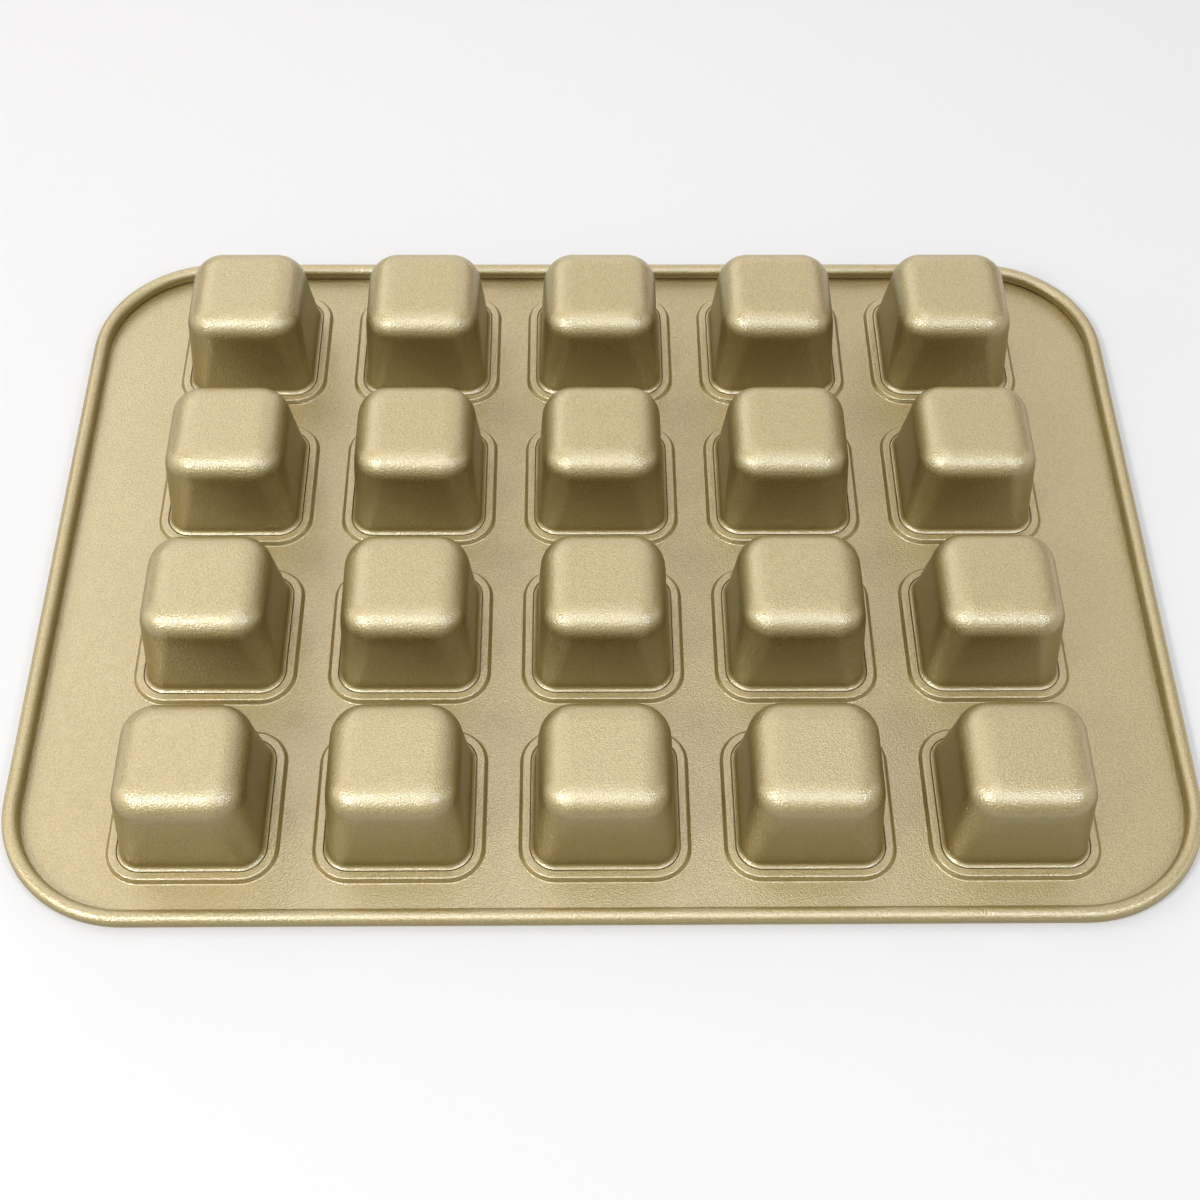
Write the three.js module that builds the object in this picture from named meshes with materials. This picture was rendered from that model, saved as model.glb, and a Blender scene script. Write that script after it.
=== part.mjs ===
// Mini brownie pan: a steel tray with a wired, rolled rim, and a square drawn cup locked into each
// of its holes. It lies turned over, cup bases up. Millimetres, +Z up. The origin is at the middle
// of the tray's flat mouth face, X runs along a row of cups and Y from the front row to the back.
import * as THREE from 'three';

// Layout of the tray
const COLUMNS = 5;
const ROWS = 4;
const COLUMN_WEB = 9.6; // flat plate between two cup seats in a row
const ROW_WEB = 9.6; // flat plate between two cup seats in a column
const END_FLAT = 26.8; // flat plate between the end seats and the rim
const SIDE_FLAT = 8.8; // flat plate between the front or back seats and the rim
const RIM_CORNER = 40; // outside radius of the rim's corners in plan

// Sheet metal, wire and clearances
const TRAY_SHEET = 0.6;
const CUP_SHEET = 0.6;
const WIRE_DIAMETER = 3.2;
const WIRE_CLEARANCE = 0.3; // wire to the curl that is rolled round it
const CURL_EDGE_GAP = 0.3; // free edge of the curl to the plate under it
const SEAM_CLEARANCE = 0.3; // cup to tray, wherever the seam holds one to the other

// Cup, measured on its outside
const CUP_MOUTH = 41.2; // across the walls, where they turn out into the lip
const CUP_HEIGHT = 33.2; // mouth face to base
const CUP_DRAFT = 3.2; // lean of each wall, in degrees
const MOUTH_CORNER = 6.3; // radius between two walls in plan, at the mouth
const BASE_FILLET = 9.4; // radius between a wall and the base
const BASE_CORNER = 0.3; // radius left at the corners of the base's flat

// Lock seam round each cup
const COLLAR_GAP = 1.5; // wall of the cup to the turned edge of its hole
const COLLAR_DROP = 0.6; // how far the edge of a tray hole is turned down below its seat
const COLLAR_TURN = 0.8; // width of that turned edge's rounding
const HOOK_ROOM = 0.3; // collar to the hook of the cup's lip that grips it
const STEP_RUN = 1; // how far the step up to the seat slopes

// Facets
const CORNER_STEPS = 3;
const RIM_CORNER_STEPS = 5;
const FILLET_STEPS = 3;
const CURL_STEPS = 7;
const WIRE_SIDES = 6;
const CELL_MARGIN = 0.125; // share of the plate's margin that the cells of the outer cups take in

// Sizes that follow, as distances from a cup's centre line unless they are heights
const collarFoot = CUP_SHEET + SEAM_CLEARANCE;
const seatUnderside = collarFoot + COLLAR_DROP;
const seatTop = seatUnderside + TRAY_SHEET;
const hookTop = seatUnderside - SEAM_CLEARANCE;
const collarInside = CUP_MOUTH / 2 + COLLAR_GAP;
const collarOutside = collarInside + TRAY_SHEET;
const hookInside = collarOutside + HOOK_ROOM;
const hookOutside = hookInside + CUP_SHEET;
const recessTop = hookOutside + SEAM_CLEARANCE;
const recessFoot = recessTop + STEP_RUN;
const stepMitre = TRAY_SHEET * Math.tan(Math.atan2(seatUnderside, STEP_RUN) / 2);
const seatEdge = recessTop + stepMitre;
const seatFoot = recessFoot + stepMitre;
const mouthArcs = CUP_MOUTH / 2 - MOUTH_CORNER;

// Rim: the plate's edge curls up round the wire and back down to the plate
const wireRadius = WIRE_DIAMETER / 2;
const curlInside = wireRadius + WIRE_CLEARANCE;
const curlOutside = curlInside + TRAY_SHEET;
const curlStart = -Math.PI / 2;
const curlEnd = Math.PI + Math.asin(1 - (TRAY_SHEET + CURL_EDGE_GAP) / curlOutside);

const columnPitch = 2 * seatFoot + COLUMN_WEB;
const rowPitch = 2 * seatFoot + ROW_WEB;
const halfLength = ((COLUMNS - 1) / 2) * columnPitch + seatFoot + END_FLAT + 2 * curlOutside;
const halfWidth = ((ROWS - 1) / 2) * rowPitch + seatFoot + SIDE_FLAT + 2 * curlOutside;
const columnCentres = Array.from({ length: COLUMNS }, (_, i) => (i - (COLUMNS - 1) / 2) * columnPitch);
const rowCentres = Array.from({ length: ROWS }, (_, i) => (i - (ROWS - 1) / 2) * rowPitch);

// A closed skin of facets, built from rings of points that run anticlockwise seen from above
class Skin {
  constructor() {
    this.points = [];
    this.facets = [];
  }

  point(x, y, z) {
    this.points.push(x, y, z);
    return this.points.length / 3 - 1;
  }

  // A rounded rectangle, as four arcs of point numbers, from the +X +Y corner round
  ring(centre, halfX, halfY, corner, z, steps) {
    const signs = [[1, 1], [-1, 1], [-1, -1], [1, -1]];
    return signs.map(([signX, signY], quarter) => {
      const arc = [];
      for (let step = 0; step <= steps; step += 1) {
        const angle = (quarter + step / steps) * (Math.PI / 2);
        const x = centre.x + signX * (halfX - corner) + corner * Math.cos(angle);
        const y = centre.y + signY * (halfY - corner) + corner * Math.sin(angle);
        arc.push(this.point(x, y, z));
      }
      return arc;
    });
  }

  facet(a, b, c) {
    this.facets.push(a, b, c);
  }

  // Facets from one ring to the next, facing right of the way from the first to the second
  band(first, second) {
    const from = first.flat();
    const to = second.flat();
    from.forEach((start, i) => {
      const next = (i + 1) % from.length;
      this.facet(start, from[next], to[next]);
      this.facet(start, to[next], to[i]);
    });
  }

  bands(rings) {
    rings.slice(1).forEach((ring, i) => this.band(rings[i], ring));
  }

  // A flat across a ring, facing up or down
  cap(ring, up) {
    const edge = ring.flat();
    for (let i = 1; i < edge.length - 1; i += 1) {
      this.facet(edge[0], edge[up ? i : i + 1], edge[up ? i + 1 : i]);
    }
  }

  geometry() {
    const geometry = new THREE.BufferGeometry();
    geometry.setAttribute('position', new THREE.Float32BufferAttribute(this.points, 3));
    geometry.setIndex(this.facets);
    geometry.computeVertexNormals();
    return geometry;
  }
}

const draft = THREE.MathUtils.degToRad(CUP_DRAFT);

// Half the cup's outside width at a height on its leaning walls
function wallAt(height) {
  return CUP_MOUTH / 2 - (height - CUP_SHEET) * Math.tan(draft);
}

// A ring round a cup's centre line, with its corners' arcs struck from points that far out
function ringRoundCup(skin, centre, half, height, arcs) {
  return skin.ring(centre, half, half, half - arcs, height, CORNER_STEPS);
}

// Rings of the fillet between wall and base, from the base's flat down to the wall
function baseFillet(skin, axis, inset) {
  const middle = new THREE.Vector2(0, CUP_HEIGHT - BASE_FILLET);
  middle.x = wallAt(middle.y) - BASE_FILLET / Math.cos(draft);
  const radius = BASE_FILLET - inset;
  const rings = [];
  for (let step = 0; step <= FILLET_STEPS; step += 1) {
    const angle = THREE.MathUtils.lerp(Math.PI / 2, draft, step / FILLET_STEPS);
    const height = middle.y + radius * Math.sin(angle);
    const half = middle.x + radius * Math.cos(angle);
    rings.push(ringRoundCup(skin, axis, half, height, middle.x - BASE_CORNER));
  }
  return rings;
}

// One drawn cup: inside from the base down, the lip out and up into its hook, then the outside up
function cupGeometry() {
  const skin = new Skin();
  const axis = new THREE.Vector2();
  const lip = [
    [wallAt(0) - CUP_SHEET / Math.cos(draft), 0],
    [hookOutside, 0],
    [hookOutside, hookTop],
    [hookInside, hookTop],
    [hookInside, CUP_SHEET],
    [CUP_MOUTH / 2, CUP_SHEET],
  ];
  const rings = [
    ...baseFillet(skin, axis, CUP_SHEET),
    ...lip.map(([half, height]) => ringRoundCup(skin, axis, half, height, mouthArcs)),
    ...baseFillet(skin, axis, 0).reverse(),
  ];
  skin.cap(rings[0], false);
  skin.bands(rings);
  skin.cap(rings.at(-1), true);
  return skin.geometry();
}

// Rings of one seat, from the step's foot on the plate over the seat, round the collar and back out
function seatRings(skin, centre) {
  const profile = [
    [seatFoot, TRAY_SHEET],
    [seatEdge, seatTop],
    [collarInside + COLLAR_TURN, seatTop],
    [collarInside, collarFoot],
    [collarOutside, collarFoot],
    [collarOutside, seatUnderside],
    [recessTop, seatUnderside],
    [recessFoot, 0],
  ];
  return profile.map(([half, height]) => ringRoundCup(skin, centre, half, height, mouthArcs));
}

// A ring that follows the rim at a distance in from its outside
function rimRing(skin, inset, height) {
  const axis = new THREE.Vector2();
  return skin.ring(axis, halfLength - inset, halfWidth - inset, RIM_CORNER - inset, height, RIM_CORNER_STEPS);
}

// A ring on a circle round the wire's centre line, at an angle up from straight outwards
function ringRoundWire(skin, radius, angle) {
  return rimRing(skin, curlOutside - radius * Math.cos(angle), curlOutside + radius * Math.sin(angle));
}

// Rings of the curl, round its outside to the free edge and round its inside back to the plate
function curlRings(skin) {
  const angles = Array.from({ length: CURL_STEPS + 1 }, (_, i) =>
    THREE.MathUtils.lerp(curlStart, curlEnd, i / CURL_STEPS));
  const outside = angles.map((angle) => ringRoundWire(skin, curlOutside, angle));
  const inside = angles.reverse().map((angle) => ringRoundWire(skin, curlInside, angle));
  return [...outside, ...inside];
}

// Lines that divide a face of the plate into one cell for each cup
function cellLines(centres, plateEdge) {
  const last = centres.at(-1);
  const outer = last + seatFoot + (plateEdge - last - seatFoot) * CELL_MARGIN;
  const between = centres.slice(1).map((centre, i) => (centre + centres[i]) / 2);
  return [-outer, ...between, outer];
}

// One face of the plate, between the seats' rings and the rim's ring
function plateFace(skin, seats, outline, height, up) {
  const facet = (a, b, c) => (up ? skin.facet(a, b, c) : skin.facet(a, c, b));
  const xs = cellLines(columnCentres, halfLength - curlOutside);
  const ys = cellLines(rowCentres, halfWidth - curlOutside);
  const grid = ys.map((y) => xs.map((x) => skin.point(x, y, height)));
  seats.forEach((row, r) => row.forEach((seat, c) => {
    const cell = [grid[r + 1][c + 1], grid[r + 1][c], grid[r][c], grid[r][c + 1]];
    seat.forEach((arc, quarter) => {
      const next = (quarter + 1) % cell.length;
      arc.slice(1).forEach((point, i) => facet(arc[i], cell[quarter], point));
      facet(arc.at(-1), cell[quarter], cell[next]);
      facet(arc.at(-1), cell[next], seat[next][0]);
    });
  }));
  const sides = [
    grid.at(-1).toReversed(),
    grid.map((row) => row[0]).reverse(),
    grid[0],
    grid.map((row) => row.at(-1)),
  ];
  sides.forEach((side, quarter) => {
    const arc = outline[quarter];
    const start = arc.at(-1);
    const end = outline[(quarter + 1) % sides.length][0];
    const middle = Math.floor(side.length / 2);
    arc.slice(1).forEach((point, i) => facet(side[0], arc[i], point));
    side.slice(1).forEach((point, i) => facet(side[i], i < middle ? start : end, point));
    facet(side[middle], start, end);
  });
}

// The tray: one sheet with a seat and a turned-down hole for each cup, and its edge rolled up
function trayGeometry() {
  const skin = new Skin();
  const seats = rowCentres.map((y) =>
    columnCentres.map((x) => seatRings(skin, new THREE.Vector2(x, y))));
  const curl = curlRings(skin);
  seats.flat().forEach((rings) => skin.bands(rings));
  skin.bands(curl);
  plateFace(skin, seats.map((row) => row.map((rings) => rings[0])), curl.at(-1), TRAY_SHEET, true);
  plateFace(skin, seats.map((row) => row.map((rings) => rings.at(-1))), curl[0], 0, false);
  return skin.geometry();
}

// The stiffening wire, a closed loop inside the curl
function wireGeometry() {
  const skin = new Skin();
  const rings = Array.from({ length: WIRE_SIDES }, (_, i) =>
    ringRoundWire(skin, wireRadius, (i / WIRE_SIDES) * 2 * Math.PI));
  skin.bands([...rings, rings[0]]);
  return skin.geometry();
}

function goldCoating() {
  return new THREE.MeshStandardMaterial({ color: 0xc9b887, roughness: 0.42, metalness: 0.85 });
}

function galvanisedSteel() {
  return new THREE.MeshStandardMaterial({ color: 0x9ea0a2, roughness: 0.38, metalness: 1 });
}

function named(name, geometry, material) {
  const mesh = new THREE.Mesh(geometry, material);
  mesh.name = name;
  return mesh;
}

const pan = new THREE.Group();
pan.add(named('tray_frame', trayGeometry(), goldCoating()));
pan.add(named('rim_wire', wireGeometry(), galvanisedSteel()));

const cup = cupGeometry();
rowCentres.forEach((y, r) => columnCentres.forEach((x, c) => {
  const mesh = named(`cup_r${r + 1}_c${c + 1}`, cup, goldCoating());
  mesh.position.set(x, y, 0);
  pan.add(mesh);
}));

export default pan;
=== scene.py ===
"""Mini brownie pan, turned over: a wired tray with twenty seats, and a drawn cup locked into each."""
import math

import bmesh
import bpy
from mathutils import Matrix, Vector


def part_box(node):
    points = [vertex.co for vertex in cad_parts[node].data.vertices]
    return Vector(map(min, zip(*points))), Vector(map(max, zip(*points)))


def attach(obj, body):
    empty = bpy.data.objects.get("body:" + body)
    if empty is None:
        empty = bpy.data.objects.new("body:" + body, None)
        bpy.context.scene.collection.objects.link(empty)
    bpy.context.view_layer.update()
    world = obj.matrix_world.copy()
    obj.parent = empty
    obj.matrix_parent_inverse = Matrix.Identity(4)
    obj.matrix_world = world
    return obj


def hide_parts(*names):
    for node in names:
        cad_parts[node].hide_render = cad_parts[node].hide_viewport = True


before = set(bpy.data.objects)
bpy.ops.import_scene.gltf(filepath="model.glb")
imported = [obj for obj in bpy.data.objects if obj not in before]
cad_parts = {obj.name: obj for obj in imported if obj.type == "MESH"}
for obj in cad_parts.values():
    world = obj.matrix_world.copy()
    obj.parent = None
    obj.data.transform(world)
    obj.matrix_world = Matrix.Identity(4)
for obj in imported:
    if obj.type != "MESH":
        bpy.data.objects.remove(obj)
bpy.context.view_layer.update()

# Sizes in metres. The layout comes from the frame, the rest are the pan's own driving sizes.
MM = 0.001
COLUMNS, ROWS = 5, 4
TRAY_SHEET = 0.6 * MM
CUP_SHEET = 0.6 * MM
SEAM_CLEARANCE = 0.3 * MM

# Cup, measured on its outside and outwards from its upright middle line
CUP_WALL_FOOT = 20.6 * MM
CUP_DRAFT = math.radians(3.2)
CUP_CORNER = 6.3 * MM
BASE_FILLET = 9.4 * MM
BASE_FULLNESS = 2.4
BASE_CORNER = 0.3 * MM
FOOT_FILLET = 2.0 * MM
SHOULDER_SLOPE = math.radians(24)
SHOULDER_DEPTH = 0.1 * MM
SHOULDER_GAP = 0.2 * MM
HOOK_BEND = 0.3 * MM

# Seat that the tray has round each cup
COLLAR_GAP = 1.3 * MM
COLLAR_DROP = 0.6 * MM
COLLAR_BEND = 0.3 * MM
HOOK_ROOM = 0.5 * MM
STEP_RUN = 1.0 * MM
STEP_FOOT_BEND = 0.5 * MM
STEP_EDGE_BEND = 0.3 * MM

# Rolled rim
RIM_CORNER = 40 * MM
WIRE_RADIUS = 1.6 * MM
WIRE_CLEARANCE = 0.3 * MM
CURL_EDGE_GAP = 0.3 * MM

# Fineness of the meshes
CORNER_SEGMENTS = 12
RIM_CORNER_SEGMENTS = 24
BEND_STEPS = 5
EDGE_BEVEL_STEPS = 3
BASE_FILLET_STEPS = 12
CURL_STEP = math.radians(15)
WALL_CUTS = 5

# Limits that tell points, edges and faces apart
SAME_PLACE = 0.01 * MM
SAME_POINT = 0.001 * MM
SMOOTH_BELOW = math.radians(40)
SEAT_FOLD = math.radians(30)
UPRIGHT_NORMAL = 0.1
LEAST_COSINE = 1e-9

# Coating: gold in a fine grain of dark and light specks
GRAIN_SCALE = 2100
GRAIN_DETAIL = 1
GRAIN_DEPTH = 0.16 * MM
DARK_SPECK, LIGHT_SPECK = 0.35, 0.65
DARK_GOLD = (0.59, 0.452, 0.17, 1)
LIGHT_GOLD = (0.75, 0.576, 0.226, 1)
GOLD_ROUGHNESS = (0.52, 0.6)

# Coating: its clear film, and how the film thins and a painted shade darkens the gold from level faces to
# upright walls
FILM_ROUGHNESS = 0.26
FILM_IOR = 2.65
WALL_NORMAL, LEVEL_NORMAL = 0.3, 0.95
# Painted shade: the gold's colour is multiplied by the first colour on upright walls and by white on level
# faces
WALL_PAINTED_SHADE = (0.46, 0.47, 0.4, 1)
LEVEL_UNSHADED = (1, 1, 1, 1)
WALL_FILM, LEVEL_FILM = 0.35, 1

# Wire: plain steel with drawing marks
STEEL = (0.55, 0.56, 0.57, 1)
MARK_SCALE = 900
MARK_DETAIL = 3
STEEL_ROUGHNESS = (0.25, 0.4)

# Range of a noise pattern that roughness follows
NOISE_LOW, NOISE_HIGH = 0.3, 0.7

# Floor of white paper, a little below the pan's lowest line, with a lift where it is seen
FLOOR_SIZE = 6
FLOOR_DROP = 0.05 * MM
FLOOR_LIFT = 0.03
PAPER = (0.835, 0.797, 0.757, 1)
PAPER_ROUGHNESS = 0.9

# Studio light
PURE_WHITE = (1, 1, 1, 1)
WORLD_LEVEL = 0.1
PAN_MIDDLE = Vector((0, 0, 0))
PLAIN_LIGHT = (1, 1, 1)
OVERHEAD_LIGHT = (0.73, 0.85, 1)
LEFT_LIGHT = (0.9, 0.94, 1)
RIGHT_LIGHT = (0.76, 0.84, 1)

# Camera, fitted to the photograph's seats, rim and bases
CAMERA_PLACE = Vector((-7.58, -335.3, 470.6)) * MM
CAMERA_YAW = math.radians(1.242)
CAMERA_PITCH = math.radians(-55.86)
CAMERA_ROLL = math.radians(0.876)
CAMERA_LENS = 53.27
CAMERA_NEAR = 10 * MM

# Sizes that follow
COLLAR_FOOT = CUP_SHEET + SEAM_CLEARANCE
SEAT_UNDERSIDE = COLLAR_FOOT + COLLAR_DROP
SEAT_TOP = SEAT_UNDERSIDE + TRAY_SHEET
COLLAR_INSIDE = CUP_WALL_FOOT + COLLAR_GAP
HOOK_INSIDE = COLLAR_INSIDE + TRAY_SHEET + HOOK_ROOM
SHOULDER = COLLAR_INSIDE - SHOULDER_GAP
SHOULDER_TOP = SEAT_TOP - SHOULDER_DEPTH
FOOT_HEIGHT = SHOULDER_TOP + (SHOULDER - CUP_WALL_FOOT) * math.tan(SHOULDER_SLOPE)
HOOK_TOP = SEAT_UNDERSIDE - SEAM_CLEARANCE
STEP_MITRE = TRAY_SHEET * math.tan(math.atan2(SEAT_UNDERSIDE, STEP_RUN) / 2)
SEAT_EDGE = HOOK_INSIDE + CUP_SHEET + SEAM_CLEARANCE + STEP_MITRE
CORNER_ARCS = CUP_WALL_FOOT - CUP_CORNER
CURL_INSIDE = WIRE_RADIUS + WIRE_CLEARANCE
CURL_OUTSIDE = CURL_INSIDE + TRAY_SHEET


def cup_name(row, column):
    return f"cup_r{row + 1}_c{column + 1}"


def cup_middle(row, column):
    low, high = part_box(cup_name(row, column))
    return (low + high) / 2


# Layout, read from the frame
FIRST_CUP = cup_middle(0, 0).xy
PITCH = (cup_middle(ROWS - 1, COLUMNS - 1).x - FIRST_CUP.x) / (COLUMNS - 1)
CUP_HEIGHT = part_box(cup_name(0, 0))[1].z
RIM_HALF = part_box("tray_frame")[1].xy


def bent_path(corners):
    """Points (distance out, height) of a folded sheet's section.

    A corner is its place, followed by its bend radius where it has one.
    """
    points = [Vector(corners[0][:2])]
    for before, here, after in zip(corners, corners[1:], corners[2:]):
        corner = Vector(here[:2])
        if len(here) == 2:
            points.append(corner)
            continue
        bend = here[2]
        back = (Vector(before[:2]) - corner).normalized()
        on = (Vector(after[:2]) - corner).normalized()
        half_angle = back.angle(on) / 2
        middle = corner + (back + on).normalized() * bend / math.sin(half_angle)
        start = corner + back * bend / math.tan(half_angle) - middle
        end = corner + on * bend / math.tan(half_angle) - middle
        turn = start.angle_signed(end)
        for step in range(BEND_STEPS + 1):
            points.append(middle + Matrix.Rotation(-turn * step / BEND_STEPS, 2) @ start)
    points.append(Vector(corners[-1][:2]))
    return points


def choose(kind, wanted):
    """Select only the vertices, edges or faces of the mesh in edit mode that a test accepts."""
    bpy.ops.mesh.select_mode(type=kind)
    bpy.ops.mesh.select_all(action="DESELECT")
    data = bpy.context.edit_object.data
    mesh = bmesh.from_edit_mesh(data)
    for part in {"VERT": mesh.verts, "EDGE": mesh.edges, "FACE": mesh.faces}[kind]:
        if wanted(part):
            part.select_set(True)
    mesh.select_flush_mode()
    bmesh.update_edit_mesh(data)


def middle_height(part):
    return sum(corner.co.z for corner in part.verts) / len(part.verts)


def near(a, b):
    return abs(a - b) < SAME_PLACE


def rounded_blank(name, half, corner, place, segments):
    """A flat blank with round corners, left in edit mode with its face selected."""
    bpy.ops.object.select_all(action="DESELECT")
    # A plane of size 2 reaches 1 each way, so its scale is half the blank's size
    bpy.ops.mesh.primitive_plane_add(size=2, location=place)
    blank = bpy.context.object
    blank.name = name
    blank.scale = (half.x, half.y, 1)
    bpy.ops.object.transform_apply(location=True, rotation=True, scale=True)
    bpy.ops.object.mode_set(mode="EDIT")
    bpy.ops.mesh.select_all(action="SELECT")
    bpy.ops.mesh.bevel(offset=corner, segments=segments, affect="VERTICES")
    choose("FACE", lambda face: True)
    return blank


def cup_blank(name, half, height, arcs):
    """A square blank over the first cup's place, whose corner arcs have a given middle."""
    place = (*FIRST_CUP, height)
    return rounded_blank(name, Vector((half, half)), half - arcs, place, CORNER_SEGMENTS)


def press(path):
    """Inset the selected face step by step along a section that runs inwards."""
    for here, after in zip(path, path[1:]):
        bpy.ops.mesh.inset(thickness=here.x - after.x, depth=after.y - here.y, use_even_offset=True)


def cut_out():
    """Delete the selected face and go back to object mode."""
    bpy.ops.mesh.delete(type="FACE")
    bpy.ops.object.mode_set(mode="OBJECT")


def join(piece, other):
    """Join another mesh into a piece and go on in edit mode."""
    bpy.ops.object.select_all(action="DESELECT")
    piece.select_set(True)
    other.select_set(True)
    bpy.context.view_layer.objects.active = piece
    bpy.ops.object.join()
    bpy.ops.object.mode_set(mode="EDIT")


def merge_points():
    bpy.ops.mesh.select_all(action="SELECT")
    bpy.ops.mesh.remove_doubles(threshold=SAME_POINT)


def face_up(top):
    """Make the sheet's faces agree, with those at a given height facing up."""
    merge_points()
    bpy.ops.mesh.normals_make_consistent(inside=False)
    mesh = bmesh.from_edit_mesh(bpy.context.edit_object.data)
    level = [face for face in mesh.faces if all(near(corner.co.z, top) for corner in face.verts)]
    if level[0].normal.z < 0:
        bpy.ops.mesh.flip_normals()
    bpy.ops.object.mode_set(mode="OBJECT")


def apply_modifier(piece, kind, **settings):
    modifier = piece.modifiers.new(kind.lower(), kind)
    for setting, value in settings.items():
        setattr(modifier, setting, value)
    bpy.context.view_layer.objects.active = piece
    bpy.ops.object.modifier_apply(modifier=modifier.name)


def thicken(piece, sheet):
    """Give a sheet its thickness on the side away from its faces."""
    apply_modifier(piece, "SOLIDIFY", thickness=sheet, offset=-1, use_even_offset=True)


def shade(piece):
    """Shade the bends smooth and keep the flats flat."""
    bpy.ops.object.shade_smooth_by_angle(angle=SMOOTH_BELOW)
    apply_modifier(piece, "WEIGHTED_NORMAL", keep_sharp=True)


def bend_seat_edge(tray, at_collar, bend):
    """Round one of the two edges of each seat's flat: over the collar or over the step."""
    def wanted(edge):
        if edge.calc_face_angle(0) < SEAT_FOLD:
            return False
        if not all(near(corner.co.z, SEAT_TOP) for corner in edge.verts):
            return False
        return at_collar == any(abs(face.normal.z) < UPRIGHT_NORMAL for face in edge.link_faces)

    bpy.context.view_layer.objects.active = tray
    bpy.ops.object.mode_set(mode="EDIT")
    choose("EDGE", wanted)
    bpy.ops.mesh.bevel(offset=bend, segments=EDGE_BEVEL_STEPS, affect="EDGES")
    bpy.ops.object.mode_set(mode="OBJECT")


def base_rounding(base_edge, wall_slope):
    """Section from the wall over to the flat base: a full round, tightest in its middle."""
    points = []
    for step in range(BASE_FILLET_STEPS + 1):
        tilt = math.pi / 2 * (1 - step / BASE_FILLET_STEPS)
        lean = (math.sin(tilt) / max(math.cos(tilt), LEAST_COSINE)) ** (1 / (BASE_FULLNESS - 1))
        up = (1 + lean ** BASE_FULLNESS) ** (-1 / BASE_FULLNESS)
        inwards = BASE_FILLET * (1 - lean * up)
        down = BASE_FILLET * (1 - up)
        points.append(Vector((base_edge - inwards + down * wall_slope, CUP_HEIGHT - down)))
    return points


def press_cup():
    """One cup as a sheet of its outside: hooked lip, shoulder, leaning wall and rounded base."""
    wall_slope = math.tan(CUP_DRAFT)
    wall_start = FOOT_HEIGHT + FOOT_FILLET
    lip = bent_path([
        (HOOK_INSIDE, HOOK_TOP),
        (HOOK_INSIDE, CUP_SHEET, HOOK_BEND),
        (SHOULDER, CUP_SHEET),
        (SHOULDER, SHOULDER_TOP),
        (CUP_WALL_FOOT - (FOOT_HEIGHT - CUP_SHEET) * wall_slope, FOOT_HEIGHT, FOOT_FILLET),
        (CUP_WALL_FOOT - (wall_start - CUP_SHEET) * wall_slope, wall_start),
    ])
    cup = cup_blank("cup", lip[0].x, lip[0].y, CORNER_ARCS)
    press(lip)
    cut_out()
    base_edge = CUP_WALL_FOOT - (CUP_HEIGHT - CUP_SHEET) * wall_slope
    rounding = base_rounding(base_edge, wall_slope)
    base = cup_blank("cup_base", rounding[0].x, rounding[0].y, rounding[-1].x - BASE_CORNER)
    press(rounding)
    bpy.ops.object.mode_set(mode="OBJECT")
    join(cup, base)
    ends = (lip[-1].y, rounding[0].y)
    choose("EDGE", lambda edge: edge.is_boundary and any(near(middle_height(edge), end) for end in ends))
    bpy.ops.mesh.bridge_edge_loops(number_cuts=WALL_CUTS, interpolation="LINEAR")
    face_up(CUP_HEIGHT)
    thicken(cup, CUP_SHEET)
    shade(cup)
    return cup


def copy_cup(pattern, row, column):
    """A copy of the pattern cup, with its own mesh, at its place in the grid."""
    bpy.ops.object.select_all(action="DESELECT")
    pattern.select_set(True)
    bpy.context.view_layer.objects.active = pattern
    bpy.ops.object.duplicate()
    cup = bpy.context.object
    cup.name = cup_name(row, column) + "_visual"
    bpy.ops.transform.translate(value=(column * PITCH, row * PITCH, 0))
    bpy.ops.object.transform_apply(location=True)
    return cup


def emboss_seats():
    """The middle of the tray: a square of plate with its seat and hole, repeated in a grid."""
    section = bent_path([
        (SEAT_EDGE + 2 * STEP_RUN, TRAY_SHEET),
        (SEAT_EDGE + STEP_RUN, TRAY_SHEET, STEP_FOOT_BEND),
        (SEAT_EDGE, SEAT_TOP),
        (COLLAR_INSIDE, SEAT_TOP),
        (COLLAR_INSIDE, COLLAR_FOOT),
    ])
    seat = cup_blank("tray_frame_visual", section[0].x, section[0].y, CORNER_ARCS)
    press(section)
    cut_out()
    bpy.ops.object.select_all(action="DESELECT")
    bpy.ops.mesh.primitive_plane_add(size=PITCH, location=(*FIRST_CUP, TRAY_SHEET))
    bpy.ops.object.transform_apply(location=True)
    square = bpy.context.object
    bpy.ops.object.mode_set(mode="EDIT")
    bpy.ops.mesh.select_all(action="SELECT")
    bpy.ops.mesh.delete(type="ONLY_FACE")
    bpy.ops.object.mode_set(mode="OBJECT")
    join(seat, square)
    choose("EDGE", lambda edge: len(edge.link_faces) < 2 and near(middle_height(edge), TRAY_SHEET))
    bpy.ops.mesh.fill(use_beauty=True)
    bpy.ops.object.mode_set(mode="OBJECT")
    grid = dict(use_relative_offset=False, use_constant_offset=True, use_merge_vertices=True,
                merge_threshold=SAME_PLACE)
    apply_modifier(seat, "ARRAY", count=COLUMNS, constant_offset_displace=(PITCH, 0, 0), **grid)
    apply_modifier(seat, "ARRAY", count=ROWS, constant_offset_displace=(0, PITCH, 0), **grid)
    return seat


def curl_ring(angle):
    """Distance in from the rim's outside, and height, of the curl's inside at an angle round the wire."""
    inwards = CURL_OUTSIDE - CURL_INSIDE * math.cos(angle)
    height = CURL_OUTSIDE + CURL_INSIDE * math.sin(angle)
    return Vector((inwards, height))


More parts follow.
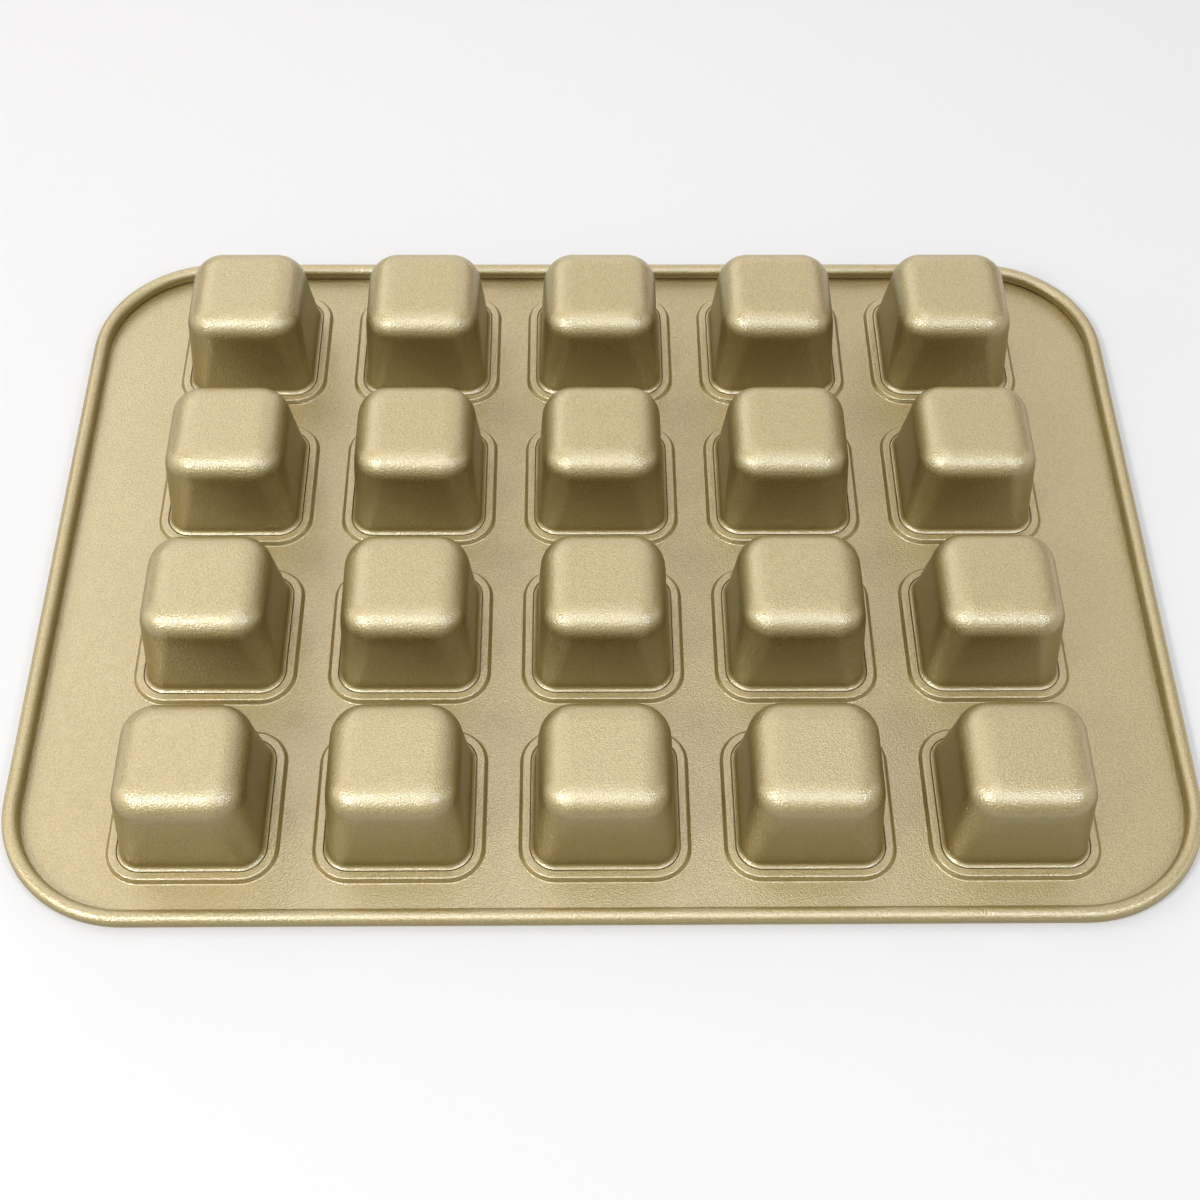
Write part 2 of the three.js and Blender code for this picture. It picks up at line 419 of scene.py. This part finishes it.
def roll_half(name, end):
    """The curl from its outermost line round to an angle, as a sheet of its inside."""
    count = round(abs(end) / CURL_STEP)
    rings = [curl_ring(end * step / count) for step in range(count + 1)]
    start = rings[0]
    half = RIM_HALF - Vector((start.x, start.x))
    blank = rounded_blank(name, half, RIM_CORNER - start.x, (0, 0, start.y), RIM_CORNER_SEGMENTS)
    press([Vector((-ring.x, ring.y)) for ring in rings])
    cut_out()
    return blank


def tuck_free_edge(over):
    """Carry the curl on from its inner side down and back under itself, to just above the plate."""
    start = curl_ring(math.pi)
    count = math.ceil(over / CURL_STEP)
    choose("EDGE", lambda edge: edge.is_boundary and near(middle_height(edge), start.y)
           and abs(edge.verts[0].co.y) < RIM_HALF.y - CURL_OUTSIDE)
    for step in range(count):
        here = curl_ring(math.pi + over * step / count)
        after = curl_ring(math.pi + over * (step + 1) / count)
        grown = [(edge - after.x) / (edge - here.x) for edge in RIM_HALF]
        bpy.ops.mesh.extrude_edges_move(TRANSFORM_OT_translate={"value": (0, 0, after.y - here.y)})
        bpy.ops.transform.resize(value=(*grown, 1), center_override=(0, 0, 0))


def press_tray():
    """The tray: seats, plain margin and rolled rim, as a sheet of its upper face."""
    tray = emboss_seats()
    lower = roll_half("rim_lower", -math.pi / 2)
    upper = roll_half("rim_upper", math.pi)
    join(upper, lower)
    merge_points()
    tuck_free_edge(math.asin(1 - (TRAY_SHEET + CURL_EDGE_GAP) / CURL_OUTSIDE))
    bpy.ops.object.mode_set(mode="OBJECT")
    join(tray, upper)
    choose("EDGE", lambda edge: edge.is_boundary and near(middle_height(edge), TRAY_SHEET))
    bpy.ops.mesh.fill(use_beauty=True)
    face_up(SEAT_TOP)
    thicken(tray, TRAY_SHEET)
    bend_seat_edge(tray, True, COLLAR_BEND)
    bend_seat_edge(tray, False, STEP_EDGE_BEND)
    shade(tray)
    return tray


def set_sockets(shader, values):
    """Set input sockets by their names, written with underscores."""
    for socket, value in values.items():
        shader.inputs[socket.replace("_", " ")].default_value = value


def new_finish(name, **values):
    """A new material, with the values that are the same all over set on its shader."""
    finish = bpy.data.materials.new(name)
    finish.use_nodes = True
    shader = finish.node_tree.nodes["Principled BSDF"]
    set_sockets(shader, values)
    return finish, shader


def node(finish, kind, **values):
    made = finish.node_tree.nodes.new(kind)
    set_sockets(made, values)
    return made


def calculation(finish, kind, operation):
    made = node(finish, kind)
    made.operation = operation
    return made


def tone_ramp(finish, *stops):
    """A colour ramp between two stops, each a position and a colour."""
    ramp = node(finish, "ShaderNodeValToRGB")
    for element, (position, colour) in zip(ramp.color_ramp.elements, stops):
        element.position = position
        element.color = colour
    return ramp


def noise_on_piece(finish, scale, detail):
    """A noise pattern that stays in place on the piece."""
    place = node(finish, "ShaderNodeTexCoord")
    noise = node(finish, "ShaderNodeTexNoise", Scale=scale, Detail=detail)
    finish.node_tree.links.new(place.outputs["Object"], noise.inputs["Vector"])
    return noise.outputs["Fac"]


def follow_noise(finish, shader, noise, roughness):
    """Let the shader's roughness follow a noise pattern from its smoothest to its roughest."""
    link = finish.node_tree.links.new
    smoothest, roughest = roughness
    spread = node(finish, "ShaderNodeMapRange", From_Min=NOISE_LOW, From_Max=NOISE_HIGH,
                  To_Min=smoothest, To_Max=roughest)
    link(noise, spread.inputs["Value"])
    link(spread.outputs["Result"], shader.inputs["Roughness"])


def gold_coating():
    """Satin champagne-gold non-stick: a broad metallic sheen in a fine grain, under a clear film.

    The clear film is thinner on upright walls, where the sheet was drawn, than on level faces; the gold
    there is darkened by the walls' slope, a painted shade for the dimmer light on them.
    """
    gold, shader = new_finish("gold_coating", Metallic=1, Coat_Roughness=FILM_ROUGHNESS, Coat_IOR=FILM_IOR)
    link = gold.node_tree.links.new
    grain = noise_on_piece(gold, GRAIN_SCALE, GRAIN_DETAIL)
    tint = tone_ramp(gold, (DARK_SPECK, DARK_GOLD), (LIGHT_SPECK, LIGHT_GOLD))
    link(grain, tint.inputs["Fac"])

    face = node(gold, "ShaderNodeNewGeometry")
    direction = node(gold, "ShaderNodeSeparateXYZ")
    link(face.outputs["Normal"], direction.inputs["Vector"])
    level = calculation(gold, "ShaderNodeMath", "ABSOLUTE")
    link(direction.outputs["Z"], level.inputs[0])

    # Painted shade: the gold's colour is darkened on upright walls by their slope, for the dimmer light
    # they get
    painted_shade = tone_ramp(gold, (WALL_NORMAL, WALL_PAINTED_SHADE), (LEVEL_NORMAL, LEVEL_UNSHADED))
    link(level.outputs["Value"], painted_shade.inputs["Fac"])
    shaded_gold = calculation(gold, "ShaderNodeVectorMath", "MULTIPLY")
    link(tint.outputs["Color"], shaded_gold.inputs[0])
    link(painted_shade.outputs["Color"], shaded_gold.inputs[1])
    link(shaded_gold.outputs["Vector"], shader.inputs["Base Color"])

    film = node(gold, "ShaderNodeMapRange", From_Min=WALL_NORMAL, From_Max=LEVEL_NORMAL,
                To_Min=WALL_FILM, To_Max=LEVEL_FILM)
    link(level.outputs["Value"], film.inputs["Value"])
    link(film.outputs["Result"], shader.inputs["Coat Weight"])

    follow_noise(gold, shader, grain, GOLD_ROUGHNESS)
    bump = node(gold, "ShaderNodeBump", Strength=1, Distance=GRAIN_DEPTH)
    link(grain, bump.inputs["Height"])
    link(bump.outputs["Normal"], shader.inputs["Normal"])
    link(bump.outputs["Normal"], shader.inputs["Coat Normal"])
    return gold


def drawn_steel():
    """Plain drawn wire, uneven in gloss."""
    steel, shader = new_finish("drawn_steel", Base_Color=STEEL, Metallic=1)
    marks = noise_on_piece(steel, MARK_SCALE, MARK_DETAIL)
    follow_noise(steel, shader, marks, STEEL_ROUGHNESS)
    return steel


def white_paper():
    """Matt paper, lit by the lamps so that it keeps the shadow, and lifted where it is seen."""
    paper, sheet = new_finish("white_paper", Base_Color=PAPER, Roughness=PAPER_ROUGHNESS,
                              Specular_IOR_Level=0, Emission_Color=PURE_WHITE)
    link = paper.node_tree.links.new
    ray = node(paper, "ShaderNodeLightPath")
    seen = ray.outputs["Is Camera Ray"]
    for kind in ("Is Glossy Ray", "Is Transmission Ray"):
        either = calculation(paper, "ShaderNodeMath", "MAXIMUM")
        link(seen, either.inputs[0])
        link(ray.outputs[kind], either.inputs[1])
        seen = either.outputs["Value"]
    lift = calculation(paper, "ShaderNodeMath", "MULTIPLY")
    lift.inputs[1].default_value = FLOOR_LIFT
    link(seen, lift.inputs[0])
    link(lift.outputs["Value"], sheet.inputs["Emission Strength"])
    return paper


def dress(piece, node_name, coating):
    """Give a finished piece its coating, and let it stand for its node of the frame."""
    piece.data.materials.clear()
    piece.data.materials.append(coating)
    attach(piece, "root")
    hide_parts(node_name)


def softbox(name, place, size, level, colour=PLAIN_LIGHT):
    """A rectangular area lamp turned to the pan, whose face shines at a given level."""
    bpy.ops.object.light_add(type="AREA", location=place)
    lamp = bpy.context.object
    lamp.name = name
    lamp.rotation_euler = (PAN_MIDDLE - Vector(place)).to_track_quat("-Z", "Y").to_euler()
    lamp.data.shape = "RECTANGLE"
    lamp.data.size, lamp.data.size_y = size
    lamp.data.energy = level * math.pi * size[0] * size[1]
    lamp.data.color = colour


# Tray, cups and wire
gold = gold_coating()
dress(press_tray(), "tray_frame", gold)

pattern = press_cup()
for row in range(ROWS):
    for column in range(COLUMNS):
        dress(copy_cup(pattern, row, column), cup_name(row, column), gold)
bpy.data.objects.remove(pattern)

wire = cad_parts["rim_wire"]
wire.data.materials.clear()
wire.data.materials.append(drawn_steel())

# Floor
bpy.ops.object.select_all(action="DESELECT")
bpy.ops.mesh.primitive_plane_add(size=FLOOR_SIZE, location=(0, 0, -FLOOR_DROP))
floor = bpy.context.object
floor.name = "floor"
floor.data.materials.append(white_paper())

# Soft light from all sides, and a small lamp at each front corner for the bright base edges
world = bpy.data.worlds.new("studio")
world.use_nodes = True
set_sockets(world.node_tree.nodes["Background"], {"Color": PURE_WHITE, "Strength": WORLD_LEVEL})
bpy.context.scene.world = world

softbox("front_overhead_box", (0, -0.55, 1.5), (0.9, 0.9), 2.4, OVERHEAD_LIGHT)
softbox("front_panel", (0, -1.29, 0.94), (1.4, 1.1), 0.55)
softbox("back_overhead_box", (0, 0.41, 1.55), (0.9, 0.9), 1.4)
softbox("back_panel", (0, 1.46, 0.65), (1.6, 0.9), 1.0)
softbox("left_back_panel", (-0.87, 0.87, 1.03), (0.9, 0.9), 1.5)
softbox("right_back_panel", (0.87, 0.87, 1.03), (0.9, 0.9), 0.6)
softbox("left_panel", (-1.48, 0, 0.6), (1, 1), 1.4)
softbox("right_panel", (1.48, 0, 0.6), (1, 1), 0.8)
softbox("left_front_panel", (-1.2, -1.1, 1.0), (1.1, 1.1), 0.7)
softbox("right_front_panel", (1.2, -1.1, 1.0), (1.1, 1.1), 0.5)
softbox("left_lamp", (-0.85, -0.69, 1.17), (0.3, 0.3), 33, LEFT_LIGHT)
softbox("right_lamp", (0.85, -0.69, 1.17), (0.3, 0.3), 16, RIGHT_LIGHT)

# Camera
bpy.ops.object.camera_add()
camera = bpy.context.object
camera.data.lens = CAMERA_LENS
camera.data.clip_start = CAMERA_NEAR
camera.matrix_world = (
    Matrix.Translation(CAMERA_PLACE)
    @ Matrix.Rotation(-CAMERA_YAW, 4, "Z")
    @ Matrix.Rotation(math.pi / 2 + CAMERA_PITCH, 4, "X")
    @ Matrix.Rotation(CAMERA_ROLL, 4, "Z")
)
bpy.context.scene.camera = camera
bpy.context.scene.view_settings.view_transform = "Standard"
